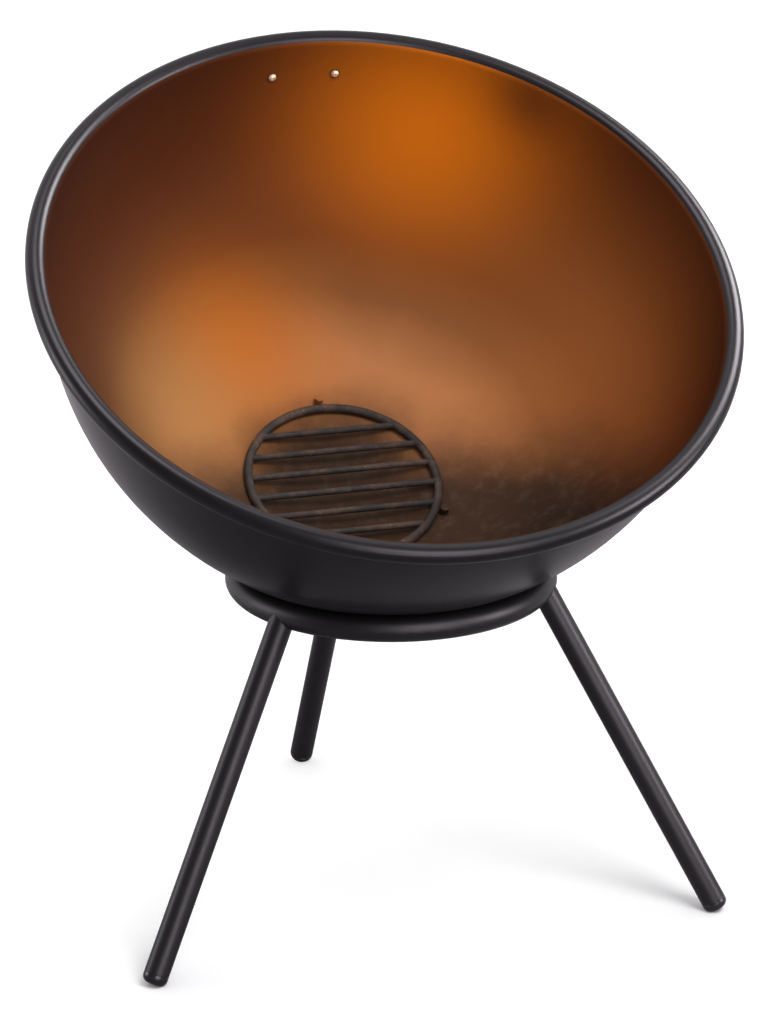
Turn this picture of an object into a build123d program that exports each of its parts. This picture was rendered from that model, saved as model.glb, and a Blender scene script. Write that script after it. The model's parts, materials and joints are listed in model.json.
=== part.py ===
from build123d import *

import os
from math import acos, asin, atan, cos, degrees, radians, sin, sqrt

# A fire bowl: a spun steel hemisphere with a rolled rim lies loose in the round seat
# ring of a welded tripod stand, so that its mouth can be tipped towards the room.
# Millimetres. The origin is on the floor under the seat ring's centre, +Z is up,
# and the bowl tips towards -Y, which is the front.

# Driving dimensions of the bowl
BOWL_R = 300.0
SHEET = 2.5
BEAD_R = 8.75
CURL_GAP = 1.0
RIM_DROP = 14.5
TILT = 31.8

# Driving dimensions of the stand
RING_R = 136.0
TUBE_R = 11.0
TUBE_WALL = 1.5
FLOOR_R = 295.5
FLOOR_AXIS_Z = 11.1
RING_Z = 295.7
LEG_ANGLES = {"front_left": -60.0, "front_right": 60.0, "rear": 180.0}
SEAT_CLEARANCE = 0.3

# Driving dimensions of the foot caps
CAP_HEAD = 9.0
CAP_CORNER_R = 6.5
CAP_EDGE = 0.5
CAP_PLUG_R = 8.6
CAP_PLUG_LENGTH = 18.0
CAP_FIN_T = 1.2
CAP_FINS = 3
FOOT_FLAT_DEPTH = 0.5

# Driving dimensions of the handle and its screws
HANDLE_DROP = 8.8
HANDLE_SPACING = 60.0
HANDLE_BAR_R = 4.0
HANDLE_REACH = 38.0
HANDLE_BEND_R = 12.0
SCREW_R = 2.0
SCREW_LENGTH = 12.0
SCREW_HOLE_R = 2.25
TAP_DEPTH = 12.0
HEAD_R = 3.8
HEAD_H = 2.4
SOCKET_AF = 2.5
SOCKET_DEPTH = 1.3
WASHER_R = 4.5
WASHER_HOLE_R = 2.15
WASHER_T = 0.8

# Driving dimensions of the log grate
GRATE_LIFT = 18.0
GRATE_RING_WIRE_R = 4.0
GRATE_BAR_R = 3.0
GRATE_PITCH = 24.0
GRATE_BARS = 6
STOP_R = 4.0
STOP_HEIGHT = 6.0
STOP_ANGLES = (-150.0, -30.0, 90.0)

# Radii and places that follow from them
INNER_R = BOWL_R - SHEET
BEAD_DISTANCE = INNER_R + BEAD_R
BEAD_ANGLE = -degrees(asin(RIM_DROP / BEAD_DISTANCE))
BEAD_CENTRE = (
    BEAD_DISTANCE * cos(radians(BEAD_ANGLE)),
    BEAD_DISTANCE * sin(radians(BEAD_ANGLE)),
)
SEAT_DISTANCE = BOWL_R + SEAT_CLEARANCE + TUBE_R
BOWL_Z = RING_Z + sqrt(SEAT_DISTANCE**2 - RING_R**2)

# The bowl's own axes: z is the mouth's axis, y points to the back of the bowl
bowl_axes = Plane(
    origin=(0, 0, BOWL_Z),
    x_dir=(1, 0, 0),
    z_dir=(0, -sin(radians(TILT)), cos(radians(TILT))),
)
bowl_axis = Axis(bowl_axes.origin, bowl_axes.z_dir)

os.makedirs("parts", exist_ok=True)


def section_of(plane):
    """The plane through a plane's x and z axes, so that its sketches can be revolved."""
    return Plane(origin=plane.origin, x_dir=plane.x_dir, z_dir=-plane.y_dir)


def finish(piece, name):
    """Label one finished piece and write it under its own name."""
    piece.part.label = name
    export_step(piece.part, f"parts/{name}.step")


# Bowl: the sheet runs up the hemisphere and curls outwards and round into the rim
# The curl stops where its outer face is one gap away from the wall
curl_end_cosine = (BEAD_DISTANCE**2 + BEAD_R**2 - (BOWL_R + CURL_GAP) ** 2) / (
    2 * BEAD_DISTANCE * BEAD_R
)
CURL_START = 180 + BEAD_ANGLE
CURL_SWEEP = 360 - degrees(acos(curl_end_cosine))
SCREW_SPLAY = degrees(asin(HANDLE_SPACING / 2 / INNER_R))
# A flat washer touches the round wall with its edge, a little short of the wall's radius
WASHER_SEAT_R = sqrt(INNER_R**2 - WASHER_R**2)
handle_plane = bowl_axes.rotated((-HANDLE_DROP, 0, 0))


def screw_seat(side):
    """The plane of one screw's seat on the bowl's inner wall, facing into the bowl."""
    splay = radians(side * SCREW_SPLAY)
    across, back = sin(splay), cos(splay)
    outward = handle_plane.x_dir * across + handle_plane.y_dir * back
    return Plane(
        origin=handle_plane.origin + outward * WASHER_SEAT_R,
        x_dir=handle_plane.z_dir,
        z_dir=-outward,
    )


screw_seats = [screw_seat(-1), screw_seat(1)]

with BuildPart() as bowl:
    with BuildSketch(section_of(bowl_axes)):
        with BuildLine():
            outer_wall = CenterArc((0, 0), BOWL_R, -90, 90 + BEAD_ANGLE)
            curl_inside = CenterArc(BEAD_CENTRE, BEAD_R - SHEET, CURL_START, -CURL_SWEEP)
            curl_outside = CenterArc(BEAD_CENTRE, BEAD_R, CURL_START, -CURL_SWEEP)
            Line(curl_inside @ 1, curl_outside @ 1)
            inner_wall = CenterArc((0, 0), INNER_R, -90, 90 + BEAD_ANGLE)
            Line(outer_wall @ 0, inner_wall @ 0)
        make_face()
    revolve(axis=bowl_axis)
    for seat in screw_seats:
        with BuildSketch(seat.offset(SHEET)):
            Circle(SCREW_HOLE_R)
        extrude(amount=-3 * SHEET, mode=Mode.SUBTRACT)
finish(bowl, "bowl")


# Handle: a bow of round bar whose feet stand square on the round wall
SPLAY_SLOPE = HANDLE_SPACING / 2 / sqrt(INNER_R**2 - (HANDLE_SPACING / 2) ** 2)
GRIP_DISTANCE = BOWL_R + HANDLE_REACH
FOOT_DISTANCE = (BOWL_R - SHEET / 2) * cos(radians(SCREW_SPLAY))

with BuildPart() as handle:
    with BuildLine(handle_plane) as bow:
        FilletPolyline(
            (-FOOT_DISTANCE * SPLAY_SLOPE, FOOT_DISTANCE),
            (-GRIP_DISTANCE * SPLAY_SLOPE, GRIP_DISTANCE),
            (GRIP_DISTANCE * SPLAY_SLOPE, GRIP_DISTANCE),
            (FOOT_DISTANCE * SPLAY_SLOPE, FOOT_DISTANCE),
            radius=HANDLE_BEND_R,
        )
    with BuildSketch(Plane(origin=bow.line @ 0, z_dir=bow.line % 0)):
        Circle(HANDLE_BAR_R)
    sweep()
    with Locations(bowl_axes.origin):
        Sphere(BOWL_R, mode=Mode.SUBTRACT)
    for seat in screw_seats:
        with BuildSketch(seat):
            Circle(SCREW_R)
        extrude(amount=-(SHEET + TAP_DEPTH), mode=Mode.SUBTRACT)
finish(handle, "handle")


# Screws: two dome heads with a hexagon socket, put in from inside the bowl
DOME_R = (HEAD_R**2 + HEAD_H**2) / (2 * HEAD_H)
DOME_START = degrees(asin((DOME_R - HEAD_H) / DOME_R))

with BuildPart() as handle_screws:
    for seat in screw_seats:
        head_seat = seat.offset(WASHER_T)
        with BuildSketch(section_of(head_seat)):
            with BuildLine():
                CenterArc((0, HEAD_H - DOME_R), DOME_R, DOME_START, 90 - DOME_START)
                Polyline((0, HEAD_H), (0, 0), (HEAD_R, 0))
            make_face()
        revolve(axis=Axis(head_seat.origin, head_seat.z_dir))
        with BuildSketch(head_seat):
            Circle(SCREW_R)
        extrude(amount=-SCREW_LENGTH)
        with BuildSketch(head_seat.offset(HEAD_H)):
            RegularPolygon(SOCKET_AF / 2, 6, major_radius=False)
        extrude(amount=-SOCKET_DEPTH, mode=Mode.SUBTRACT)
finish(handle_screws, "handle_screws")


with BuildPart() as handle_washers:
    for seat in screw_seats:
        with BuildSketch(seat):
            Circle(WASHER_R)
            Circle(WASHER_HOLE_R, mode=Mode.SUBTRACT)
        extrude(amount=WASHER_T)
finish(handle_washers, "handle_washers")


# Seat ring: a closed, level circle of the legs' round section, with the bowl lying in
# it; nothing opens or shows its inside, so it is solid here
with BuildPart() as stand_ring:
    with BuildSketch(Plane.XZ):
        with Locations((RING_R, RING_Z)):
            Circle(TUBE_R)
    revolve(axis=Axis.Z)
finish(stand_ring, "stand_ring")


# Legs: each tube's axis starts on the ring's centre line and reaches the floor
# further out, and its top is coped to the ring
leg_slope = atan((FLOOR_R - RING_R) / (RING_Z - FLOOR_AXIS_Z))
# The cap's lowest point is on its corner round, below the middle of that round
corner_middle_z = (
    CAP_CORNER_R + (TUBE_R - CAP_CORNER_R) * sin(leg_slope) - FOOT_FLAT_DEPTH
)
cap_end_z = corner_middle_z - CAP_CORNER_R * cos(leg_slope)
LEG_LENGTH = (RING_Z - cap_end_z) / cos(leg_slope) - CAP_HEAD


def leg_plane(angle, distance):
    """A plane across one leg, at a distance along its axis from the ring's centre line."""
    turn = radians(angle)
    out = Vector(sin(turn), -cos(turn), 0)
    down_leg = out * sin(leg_slope) - Vector(0, 0, cos(leg_slope))
    sideways = Vector(cos(turn), sin(turn), 0)
    start = out * RING_R + Vector(0, 0, RING_Z)
    return Plane(origin=start + down_leg * distance, x_dir=sideways, z_dir=down_leg)


for place, angle in LEG_ANGLES.items():
    with BuildPart() as leg:
        with BuildSketch(leg_plane(angle, 0)):
            Circle(TUBE_R)
            Circle(TUBE_R - TUBE_WALL, mode=Mode.SUBTRACT)
        extrude(amount=LEG_LENGTH)
        add(stand_ring.part, mode=Mode.SUBTRACT)
    finish(leg, f"leg_{place}")


# Foot caps: a rounded head flush with the tube, on a finned plug inside its bore
HEAD_FLAT_R = TUBE_R - CAP_CORNER_R
CORNER_Y = CAP_HEAD - CAP_CORNER_R
FIN_STEP = CAP_PLUG_LENGTH / (CAP_FINS + 1)

for place, angle in LEG_ANGLES.items():
    seam = leg_plane(angle, LEG_LENGTH)
    with BuildPart() as foot_cap:
        with BuildSketch(section_of(seam)):
            with BuildLine():
                Polyline((HEAD_FLAT_R, CAP_HEAD), (0, CAP_HEAD), (0, 0), (TUBE_R - CAP_EDGE, 0))
                Line((TUBE_R - CAP_EDGE, 0), (TUBE_R, CAP_EDGE))
                Line((TUBE_R, CAP_EDGE), (TUBE_R, CORNER_Y))
                CenterArc((HEAD_FLAT_R, CORNER_Y), CAP_CORNER_R, 0, 90)
            make_face()
        revolve(axis=Axis(seam.origin, seam.z_dir))
        with BuildSketch(seam):
            Circle(CAP_PLUG_R)
        extrude(amount=-CAP_PLUG_LENGTH)
        for fin in range(1, CAP_FINS + 1):
            with BuildSketch(seam.offset(-fin * FIN_STEP)):
                Circle(TUBE_R - TUBE_WALL)
            extrude(amount=CAP_FIN_T)
        split(bisect_by=Plane.XY, keep=Keep.TOP)
    finish(foot_cap, f"foot_cap_{place}")


# Log grate: parallel bars butt-welded inside a round-bar ring that rests on the wall
GRATE_Z = GRATE_LIFT - INNER_R
grate_seat_distance = INNER_R - GRATE_RING_WIRE_R - SEAT_CLEARANCE
GRATE_RING_R = sqrt(grate_seat_distance**2 - GRATE_Z**2)

with BuildPart() as grate_ring:
    with BuildSketch(section_of(bowl_axes)):
        with Locations((GRATE_RING_R, GRATE_Z)):
            Circle(GRATE_RING_WIRE_R)
    revolve(axis=bowl_axis)
finish(grate_ring, "grate_ring")

bar_across = Plane(
    origin=bowl_axes.origin, x_dir=bowl_axes.y_dir, z_dir=bowl_axes.x_dir
)
for number in range(GRATE_BARS):
    bar_y = (number - (GRATE_BARS - 1) / 2) * GRATE_PITCH
    half_length = sqrt(GRATE_RING_R**2 - bar_y**2)
    with BuildPart() as grate_bar:
        with BuildSketch(bar_across):
            with Locations((bar_y, GRATE_Z)):
                Circle(GRATE_BAR_R)
        extrude(amount=half_length, both=True)
        add(grate_ring.part, mode=Mode.SUBTRACT)
    finish(grate_bar, f"grate_bar_{number + 1}")


# Grate stops: three studs on the wall, outside the grate's ring, that keep it from
# sliding down the tipped bowl; they stand along the mouth's axis so that it lifts out
STOP_RING_R = GRATE_RING_R + GRATE_RING_WIRE_R + STOP_R + SEAT_CLEARANCE
for number, angle in enumerate(STOP_ANGLES):
    with BuildPart() as grate_stop:
        with BuildSketch(bowl_axes.offset(GRATE_Z + STOP_HEIGHT)):
            with PolarLocations(STOP_RING_R, 1, start_angle=angle):
                Circle(STOP_R)
        extrude(amount=-2 * GRATE_LIFT)
        with Locations(bowl_axes.origin):
            Sphere(INNER_R, mode=Mode.INTERSECT)
    finish(grate_stop, f"grate_stop_{number + 1}")

print("rim diameter", round(2 * (BEAD_CENTRE[0] + BEAD_R), 1))
print("bowl centre height", round(BOWL_Z, 1), "leg length", round(LEG_LENGTH, 1))
print("grate ring radius", round(GRATE_RING_R, 1), "leg slope", round(degrees(leg_slope), 2))
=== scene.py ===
import json
from math import cos, log, radians, sin

import bpy
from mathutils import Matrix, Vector


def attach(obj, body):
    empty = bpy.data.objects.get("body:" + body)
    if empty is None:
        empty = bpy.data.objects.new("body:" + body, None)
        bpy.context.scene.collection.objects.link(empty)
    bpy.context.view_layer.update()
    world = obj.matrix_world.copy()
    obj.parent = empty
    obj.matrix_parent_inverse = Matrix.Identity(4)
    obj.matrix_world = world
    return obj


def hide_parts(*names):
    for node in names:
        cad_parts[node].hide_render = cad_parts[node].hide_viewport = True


# A steel fire bowl with a rolled rim, lying tipped in the seat ring of a welded tripod.
# Metres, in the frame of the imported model: -Y is the front and the floor is at z = 0.

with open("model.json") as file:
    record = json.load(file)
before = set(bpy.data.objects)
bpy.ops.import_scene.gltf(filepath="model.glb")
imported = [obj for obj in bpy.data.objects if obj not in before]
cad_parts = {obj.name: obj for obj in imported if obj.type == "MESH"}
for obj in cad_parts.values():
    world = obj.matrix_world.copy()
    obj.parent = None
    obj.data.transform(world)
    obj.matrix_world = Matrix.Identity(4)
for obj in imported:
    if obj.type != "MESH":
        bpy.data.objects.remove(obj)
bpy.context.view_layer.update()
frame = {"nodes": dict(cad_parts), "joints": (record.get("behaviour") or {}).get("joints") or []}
nodes = frame["nodes"]
joints = {joint["name"]: joint for joint in frame["joints"]}

# The bowl's own place and directions, at rest: right, back and out of the mouth
BOWL_CENTRE = Vector(joints["bowl_tilt"]["pos_m"])
BOWL_OUT = Vector(joints["grate_lift"]["axis"]).normalized()
BOWL_RIGHT = Vector((1, 0, 0))
BOWL_BACK = BOWL_OUT.cross(BOWL_RIGHT).normalized()
DOWN = Vector((0, 0, -1))
BACKWARDS = Vector((0, 1, 0))

# The radius of the middle of the bowl's sheet, which parts its inside from its outside
SHEET_MIDDLE_R = 0.29875

# How far the seat ring is grown: the 0.3 mm that the frame leaves at the bowl, and 0.2 mm
# more for the facets of the two meshes. Its loose triangles are welded before that.
SEAT_COAT = 0.0005
WELD_REACH = 0.00001
SMOOTH_ANGLE = radians(40)

# Black enamel is a little less green than red and blue, in its paint and in its gloss
ENAMEL_DARK = (0.0032, 0.0028, 0.0033, 1)
ENAMEL_PALE = (0.0056, 0.005, 0.0058, 1)
BLACK_GLOSS_TINT = (1.0, 0.9, 1.0, 1)

# Painted firelight on the bowl's inside, a brown for a spot of painted shade, and soot that is
# partly painted shade
FIRELIGHT_ORANGE = (0.60, 0.142, 0.002, 1)
FIRELIGHT_RED_ORANGE = (0.50, 0.157, 0.036, 1)
FIRELIGHT_AMBER = (0.54, 0.130, 0.001, 1)
FIRELIGHT_STRAW = (0.47, 0.220, 0.070, 1)
PAINTED_SHADE_BROWN = (0.085, 0.021, 0.003, 1)
SOOT_AND_SHADE = (0.012, 0.009, 0.007, 1)
SOOT_FLAKE_AND_SHADE = (0.040, 0.030, 0.023, 1)

# Soot, rust and a pale crust on the grate; the handle's screws, tinted copper as a painted
# reflection of firelight; and the browned black of its washers
BAR_SOOT = (0.016, 0.012, 0.011, 1)
BAR_RUST = (0.055, 0.026, 0.015, 1)
BAR_PALE = (0.16, 0.145, 0.13, 1)
SCREW_FIRELIT_BRIGHT = (0.85, 0.60, 0.46, 1)
SCREW_FIRELIT_COPPER = (0.72, 0.44, 0.30, 1)
WASHER_BLACK = (0.02, 0.012, 0.008, 1)
WASHER_BROWN = (0.05, 0.03, 0.02, 1)

# The camera stands in front of the bowl and to its left
CAMERA_PLACE = Vector((-0.8992, -2.8871, 1.3793))
CAMERA_AIM = Vector((-0.0060, 0.0019, 0.3575))
CAMERA_LENS = 127.87
CAMERA_REACH = 100

# How bright the room is as a light, and where a gloss mirrors it in front of the bowl and behind
ROOM_LIGHT = 0.85
ROOM_FRONT = 0.14
ROOM_BACK = 0.92

# The floor, and the colour that a gloss shows of it where that is brightest
FLOOR_SIZE = 40
FLOOR_IMAGE = (1.0, 0.93, 1.0, 1)


class Wire:
    """One value of a material's nodes, on which Python's sums add Math nodes."""

    def __init__(self, recipe, socket):
        self.recipe = recipe
        self.socket = socket

    def sum(self, operation, first, second):
        return self.recipe.node(
            "ShaderNodeMath", {"operation": operation}, {"Value": first, "Value_001": second}
        )

    def __add__(self, other):
        return self.sum("ADD", self, other)

    def __radd__(self, other):
        return self.sum("ADD", other, self)

    def __sub__(self, other):
        return self.sum("SUBTRACT", self, other)

    def __rsub__(self, other):
        return self.sum("SUBTRACT", other, self)

    def __mul__(self, other):
        return self.sum("MULTIPLY", self, other)

    def __rmul__(self, other):
        return self.sum("MULTIPLY", other, self)

    def __pow__(self, other):
        return self.sum("POWER", self, other)

    def __lt__(self, other):
        return self.sum("LESS_THAN", self, other)

    def __or__(self, other):
        """The larger of two values."""
        return self.sum("MAXIMUM", self, other)


class Recipe:
    """The nodes of one material, or of the room round the object."""

    def __init__(self, owner):
        owner.use_nodes = True
        self.owner = owner
        self.nodes = owner.node_tree.nodes
        self.links = owner.node_tree.links
        self.place = self.node("ShaderNodeTexCoord", {}, {}, "Object")

    def fill(self, node, sockets):
        """Set a node's inputs, by identifier, to values or to wires."""
        for socket in node.inputs:
            if socket.identifier not in sockets:
                continue
            value = sockets[socket.identifier]
            if isinstance(value, Wire):
                self.links.new(value.socket, socket)
            else:
                socket.default_value = value

    def node(self, kind, settings, sockets, output=None):
        """Add one node: its settings first, then the values and links of its inputs."""
        node = self.nodes.new(kind)
        for name, value in settings.items():
            if name == "stops":
                elements = node.color_ramp.elements
                while len(elements) < len(value):
                    elements.new(1)
                for element, (position, colour) in zip(elements, value):
                    element.position = position
                    element.color = colour
            else:
                setattr(node, name, value)
        self.fill(node, sockets)
        chosen = [s for s in node.outputs if s.identifier == output]
        return Wire(self, chosen[0] if chosen else node.outputs[0])

    def finish(self, values):
        """Set the sockets of the material's shader, and give back the material."""
        self.fill(self.nodes["Principled BSDF"], values)
        return self.owner

    def cover(self, share, values):
        """Lay a second finish over the first one, where share is 1."""
        first = Wire(self, self.nodes["Principled BSDF"].outputs["BSDF"])
        second = self.node("ShaderNodeBsdfPrincipled", {}, values)
        layers = {"Fac": share, "Shader": first, "Shader_001": second}
        both = self.node("ShaderNodeMixShader", {}, layers)
        self.fill(self.nodes["Material Output"], {"Surface": both})

    def noise(self, scale, detail=3.0, roughness=0.5):
        sockets = {"Vector": self.place, "Scale": scale, "Detail": detail, "Roughness": roughness}
        return self.node("ShaderNodeTexNoise", {}, sockets, "Fac")

    def rise(self, value, low, high):
        """0 at low, 1 at high and a smooth rise between them. Low may be the larger number."""
        sockets = {"Value": value, "From Min": low, "From Max": high}
        return self.node(
            "ShaderNodeMapRange", {"interpolation_type": "SMOOTHSTEP"}, sockets, "Result"
        )

    def mix(self, share, first, second):
        """Go from one colour to another."""
        sockets = {"Factor_Float": share, "A_Color": first, "B_Color": second}
        return self.node("ShaderNodeMix", {"data_type": "RGBA"}, sockets, "Result_Color")

    def stain(self, tone, colour, share, spot):
        """Lay a share of a colour over a tone, where spot is 1."""
        return self.mix(spot * share, tone, colour)

    def vector(self, operation, first, second=(0, 0, 0), output="Vector"):
        sockets = {"Vector": first, "Vector_001": second}
        return self.node("ShaderNodeVectorMath", {"operation": operation}, sockets, output)

    def along(self, vector, direction):
        """How far a vector reaches along a direction."""
        return self.vector("DOT_PRODUCT", vector, tuple(direction), "Value")

    def distance(self, point):
        """How far the surface is from a point."""
        return self.vector("DISTANCE", self.place, point, "Value")

    def bump(self, height, depth):
        """A surface that is raised by depth, in metres, where height is 1."""
        return self.node("ShaderNodeBump", {}, {"Height": height, "Distance": depth}, "Normal")


def material(name):
    return Recipe(bpy.data.materials.new(name))


def grey(level):
    """A grey with the faint pink of the studio's white."""
    return (level, level * 0.985, level, 1)


def wear(finish, *names):
    """Give nodes one material."""
    for name in names:
        nodes[name].data.materials.clear()
        nodes[name].data.materials.append(finish)


def enamel(recipe, dullness, gloss):
    """Satin black stoving enamel: faint clouds, and the fine pebbling that it dries with."""
    clouds = recipe.noise(9.0, detail=4.0)
    handled = recipe.noise(14.0, detail=5.0, roughness=0.6)
    pebbles = 0.6 * recipe.noise(1100.0, detail=2.0) + 0.25 * recipe.noise(2600.0, detail=1.0)
    return {
        "Base Color": recipe.mix(clouds, ENAMEL_DARK, ENAMEL_PALE),
        "Roughness": 0.06 * handled + dullness,
        "Specular IOR Level": gloss,
        "Specular Tint": BLACK_GLOSS_TINT,
        "Normal": recipe.bump(pebbles, depth=0.00003),
    }


def stand_coat():
    """The enamel of the tripod and the handle."""
    recipe = material("stand_coat")
    return recipe.finish(enamel(recipe, dullness=0.41, gloss=0.4))


def towards(recipe, heading, turn, drop, reach):
    """1 in one direction from the bowl's centre, and half that at an angle of reach from it.

    Turn goes round the mouth from the right over the back, drop goes down from the mouth.
    """
    across = BOWL_RIGHT * cos(radians(turn)) + BOWL_BACK * sin(radians(turn))
    middle = across * cos(radians(drop)) - BOWL_OUT * sin(radians(drop))
    nearness = recipe.along(heading, middle) | 0.0001
    return nearness ** (log(0.5) / log(cos(radians(reach))))


def painted_firelight(recipe, heading):
    """Painted firelight on the inside: brown painted shade at the mouth, orange and tan painted
    firelight further in.
    """
    # Bands by depth: brown painted shade near the mouth, painted firelight deeper in
    firelight_and_shade_bands = [
        (0.02, (0.056, 0.0110, 0.0013, 1)),
        (0.34, (0.082, 0.0168, 0.0020, 1)),
        (0.50, (0.095, 0.0230, 0.0050, 1)),
        (0.64, (0.081, 0.0215, 0.0065, 1)),
        (0.77, (0.154, 0.0620, 0.0217, 1)),
        (0.88, (0.42, 0.17, 0.065, 1)),
    ]
    waves = recipe.noise(6.0, detail=4.0, roughness=0.55) * 0.10 - 0.05
    depth = recipe.along(heading, -BOWL_OUT) + waves
    tone = recipe.node("ShaderNodeValToRGB", {"stops": firelight_and_shade_bands}, {"Fac": depth}, "Color")
    # Pools of painted firelight, and last a spot of painted shade
    firelight_glow = towards(recipe, heading, turn=65, drop=17, reach=19)
    firelight_flush = towards(recipe, heading, turn=8, drop=42, reach=24)
    firelight_flare = towards(recipe, heading, turn=119, drop=56, reach=14)
    pale = towards(recipe, heading, turn=150, drop=57, reach=13)
    painted_shade_spot = towards(recipe, heading, turn=48, drop=5, reach=6.5)
    tone = recipe.stain(tone, FIRELIGHT_ORANGE, 0.97, firelight_glow)
    tone = recipe.stain(tone, FIRELIGHT_RED_ORANGE, 0.42, firelight_flush)
    tone = recipe.stain(tone, FIRELIGHT_AMBER, 0.76, firelight_flare)
    tone = recipe.stain(tone, FIRELIGHT_STRAW, 0.70, pale)
    return recipe.stain(tone, PAINTED_SHADE_BROWN, 0.65, painted_shade_spot)


def sooted_and_shaded(recipe, heading, tone):
    """Soot and painted shade over a tone: round the bottom, and on the wall in front of the
    grate.
    """
    depth = recipe.along(heading, -BOWL_OUT)
    front = recipe.along(heading, -BOWL_BACK)
    edge = recipe.noise(9.0, detail=6.0, roughness=0.65) * 0.24 - 0.12
    # Partly soot, partly painted shade on the wall in front of the grate
    licked_soot_and_shade = recipe.rise(depth + 0.8 * front + edge, 0.66, 1.02)
    bed = recipe.rise(depth + 0.3 * edge, 0.90, 0.99)
    flakes = recipe.rise(recipe.noise(70.0, detail=6.0, roughness=0.7), 0.45, 0.75)
    # Black with flakes: the colour of both the soot and the painted shade
    soot = recipe.mix(flakes, SOOT_AND_SHADE, SOOT_FLAKE_AND_SHADE)
    return recipe.stain(tone, soot, 0.93, licked_soot_and_shade | bed)


def bowl_coat():
    """Black enamel outside and round the bead; inside, painted firelight, with soot and painted
    shade over it.
    """
    recipe = material("bowl_coat")
    offset = recipe.vector("SUBTRACT", recipe.place, tuple(BOWL_CENTRE))
    heading = recipe.vector("NORMALIZE", offset)
    inside = recipe.vector("LENGTH", offset, output="Value") < SHEET_MIDDLE_R
    scale = 0.7 * recipe.noise(240.0, detail=5.0, roughness=0.7) + 0.5 * recipe.noise(60.0)
    # Inside, the colour is painted firelight, with soot and painted shade over it
    recipe.cover(inside, {
        "Base Color": sooted_and_shaded(recipe, heading, painted_firelight(recipe, heading)),
        "Roughness": 0.62 + 0.12 * scale,
        "Specular IOR Level": 0.08,
        "Normal": recipe.bump(scale, depth=0.00006),
    })
    # The seat ring rubs a dull band round the underside
    underneath = recipe.along(heading, DOWN)
    rubbed = recipe.rise(underneath, 0.80, 0.86) * recipe.rise(underneath, 0.96, 0.93)
    return recipe.finish(enamel(recipe, dullness=0.32 + 0.45 * rubbed, gloss=0.3))


def screw_steel():
    """Stainless steel, tinted copper as a painted reflection of firelight."""
    recipe = material("screw_steel")
    return recipe.finish({
        "Base Color": recipe.mix(recipe.noise(180.0), SCREW_FIRELIT_BRIGHT, SCREW_FIRELIT_COPPER),
        "Roughness": 0.42 + 0.12 * recipe.noise(900.0),
        "Metallic": 0.55,
    })


def black_oxide():
    """Blackened steel that heat has browned."""
    recipe = material("black_oxide")
    worn = recipe.noise(500.0, detail=4.0)
    return recipe.finish({
        "Base Color": recipe.mix(worn, WASHER_BLACK, WASHER_BROWN),
        "Roughness": 0.5 + 0.2 * worn,
        "Metallic": 0.6,
    })


def cap_plastic():
    """Glossy black moulding with a faint swirl in its gloss."""
    recipe = material("cap_plastic")
    flow = recipe.noise(120.0)
    return recipe.finish({
        "Base Color": recipe.mix(flow, grey(0.003), grey(0.006)),
        "Roughness": 0.26 + 0.10 * flow,
        "Specular IOR Level": 0.6,
        "Specular Tint": BLACK_GLOSS_TINT,
        "Normal": recipe.bump(recipe.noise(1500.0, detail=2.0), depth=0.00001),
    })


def burnt_bar():
    """Round bar black with soot, with rust and a pale crust in patches."""
    recipe = material("burnt_bar")
    patches = recipe.noise(45.0, detail=5.0, roughness=0.65)
    crust = recipe.noise(420.0, detail=4.0, roughness=0.7)
    tone = recipe.mix(recipe.rise(patches, 0.42, 0.62), BAR_SOOT, BAR_RUST)
    paled = recipe.rise(crust + 0.5 * patches, 0.84, 0.98)
    return recipe.finish({
        "Base Color": recipe.stain(tone, BAR_PALE, 0.6, paled),
        "Roughness": 0.68 + 0.2 * crust,
        "Normal": recipe.bump(crust, depth=0.00025),
    })


def floor_paint():
    """A white light table, lit from below under the bowl and far from it.

    Where a gloss mirrors it, it is bright behind the bowl, and dark under it and in front:
    painted shade, seen only in the gloss.
    """
    recipe = material("floor_paint")
    mirrored = recipe.node("ShaderNodeLightPath", {}, {}, "Is Glossy Ray")
    paint = recipe.mix(recipe.noise(2.0), grey(0.92), grey(0.95))
    aside = recipe.rise(recipe.distance((-0.25, 0.05, 0)), 0.05, 0.65)
    back = recipe.rise(recipe.along(recipe.place, BACKWARDS), -0.6, 0.3)
    far_back = recipe.rise(recipe.along(recipe.place, BACKWARDS), 0.4, 1.4)
    mirrored_painted_shade = recipe.mix(0.17 + 0.40 * aside * back + 0.4 * far_back, grey(0), FLOOR_IMAGE)
    under = recipe.rise(recipe.distance((-0.1, 0.35, 0)), 0.55, 0.15)
    around = recipe.rise(recipe.distance((0.1, 0, 0)), 0.35, 1.0)
    lit = 0.45 * under + 0.3 * around
    return recipe.finish({
        "Base Color": recipe.mix(mirrored, paint, mirrored_painted_shade),
        "Roughness": 0.85,
        "Specular IOR Level": 0.2,
        "Emission Color": lit * (1 - mirrored),
        "Emission Strength": 1.0,
    })


def set_camera():
    data = bpy.data.cameras.new("camera")
    data.lens = CAMERA_LENS
    data.clip_end = CAMERA_REACH
    camera = bpy.data.objects.new("camera", data)
    bpy.context.scene.collection.objects.link(camera)
    camera.location = CAMERA_PLACE
    camera.rotation_mode = "QUATERNION"
    camera.rotation_quaternion = (CAMERA_AIM - CAMERA_PLACE).to_track_quat("-Z", "Y")
    bpy.context.scene.camera = camera


def softbox(name, place, aim, size, power):
    """One soft light of a studio: a lit rectangle that faces what it is aimed at."""
    data = bpy.data.lights.new(name, "AREA")
    data.shape = "RECTANGLE"
    data.size, data.size_y = size
    data.energy = power
    light = bpy.data.objects.new(name, data)
    bpy.context.scene.collection.objects.link(light)
    light.location = place
    light.rotation_mode = "QUATERNION"
    light.rotation_quaternion = (Vector(aim) - Vector(place)).to_track_quat("-Z", "Y")
    return light


def gloss_card(name, place, aim, size, power):
    """A lit card that only shows in the gloss, and throws no light or shadow on the floor."""
    softbox(name, place, aim, size, power).visible_diffuse = False


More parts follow.
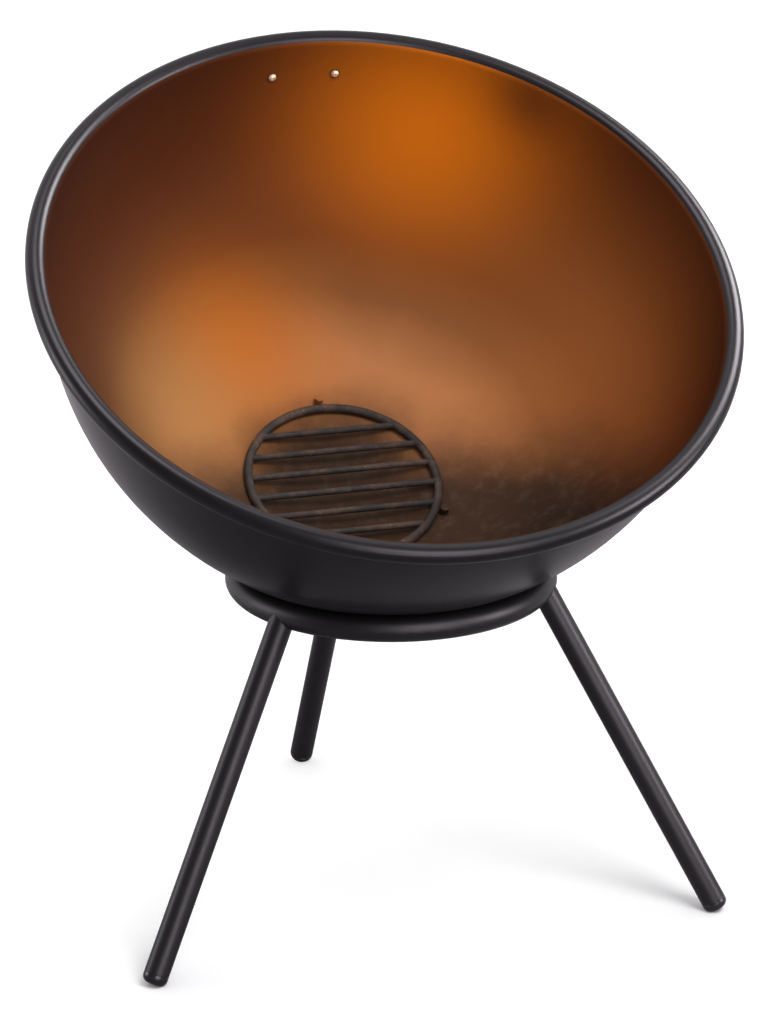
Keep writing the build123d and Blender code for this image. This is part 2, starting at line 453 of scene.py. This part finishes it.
def set_room():
    """A white room, which a gloss mirrors bright behind the bowl and dark in front of it."""
    world = bpy.data.worlds.new("world")
    bpy.context.scene.world = world
    room = Recipe(world)
    mirrored = room.node("ShaderNodeLightPath", {}, {}, "Is Glossy Ray")
    in_view = room.node("ShaderNodeLightPath", {}, {}, "Is Camera Ray")
    heading = room.node("ShaderNodeTexCoord", {}, {}, "Generated")
    back = room.rise(room.along(heading, BACKWARDS), -0.1, 0.7)
    gloss = ROOM_FRONT + (ROOM_BACK - ROOM_FRONT) * back
    brightness = ROOM_LIGHT + (1 - ROOM_LIGHT) * in_view + (gloss - ROOM_LIGHT) * mirrored
    room.fill(room.nodes["Background"], {"Color": (1, 1, 1, 1), "Strength": brightness})


def set_studio():
    """The floor, the key light, which no gloss shows, the cards and the white room."""
    bpy.ops.mesh.primitive_plane_add(size=FLOOR_SIZE)
    floor = bpy.context.object
    floor.name = "floor"
    floor.data.materials.append(floor_paint())
    key = softbox("key_light", (0.45, -1.8, 2.7), (0, 0, 0.2), size=(1.4, 1.3), power=60)
    key.visible_glossy = False
    gloss_card("top_card", (-0.4, 0.0, 2.6), (0, 0, 0.3), size=(1.1, 1.1), power=28)
    gloss_card("top_right_card", (1.7, 0.35, 2.0), (0.1, 0, 0.4), size=(0.9, 1.1), power=70)
    gloss_card("right_card", (2.5, -1.55, 1.2), (0, 0, 0.3), size=(1.1, 1.2), power=64)
    gloss_card("left_card", (-2.6, 0.9, 0.9), (0, 0, 0.4), size=(0.8, 1.4), power=20)
    gloss_card("front_card", (0.45, -2.9, 1.8), (0, 0, 0.4), size=(1.5, 1.4), power=56)
    gloss_card("low_card", (0.2, -2.8, 0.45), (0, 0, 0.2), size=(1.8, 0.4), power=24)
    set_room()
    bpy.context.scene.view_settings.view_transform = "Standard"


def seat_ring(finish):
    """The ring as the bowl lies on it, grown to close the clearance that the frame leaves."""
    ring = bpy.data.objects.new("seat_ring", nodes["stand_ring"].data.copy())
    bpy.context.scene.collection.objects.link(ring)
    bpy.context.view_layer.objects.active = ring
    ring.select_set(True)
    bpy.ops.object.mode_set(mode="EDIT")
    bpy.ops.mesh.select_all(action="SELECT")
    bpy.ops.mesh.remove_doubles(threshold=WELD_REACH)
    bpy.ops.transform.shrink_fatten(value=SEAT_COAT)
    bpy.ops.object.mode_set(mode="OBJECT")
    bpy.ops.object.shade_smooth_by_angle(angle=SMOOTH_ANGLE)
    ring.select_set(False)
    ring.data.materials.clear()
    ring.data.materials.append(finish)
    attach(ring, "stand")
    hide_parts("stand_ring")


def dress():
    """Give every piece its finish."""
    stand_black = stand_coat()
    wear(bowl_coat(), "bowl", "grate_stop_1", "grate_stop_2", "grate_stop_3")
    wear(stand_black, "handle", "leg_front_left", "leg_front_right", "leg_rear")
    seat_ring(stand_black)
    wear(screw_steel(), "handle_screws")
    wear(black_oxide(), "handle_washers")
    wear(cap_plastic(), "foot_cap_front_left", "foot_cap_front_right", "foot_cap_rear")
    grate = [name for name in nodes if name.startswith(("grate_ring", "grate_bar"))]
    wear(burnt_bar(), *grate)


bpy.ops.object.select_all(action="DESELECT")
set_camera()
set_studio()
dress()
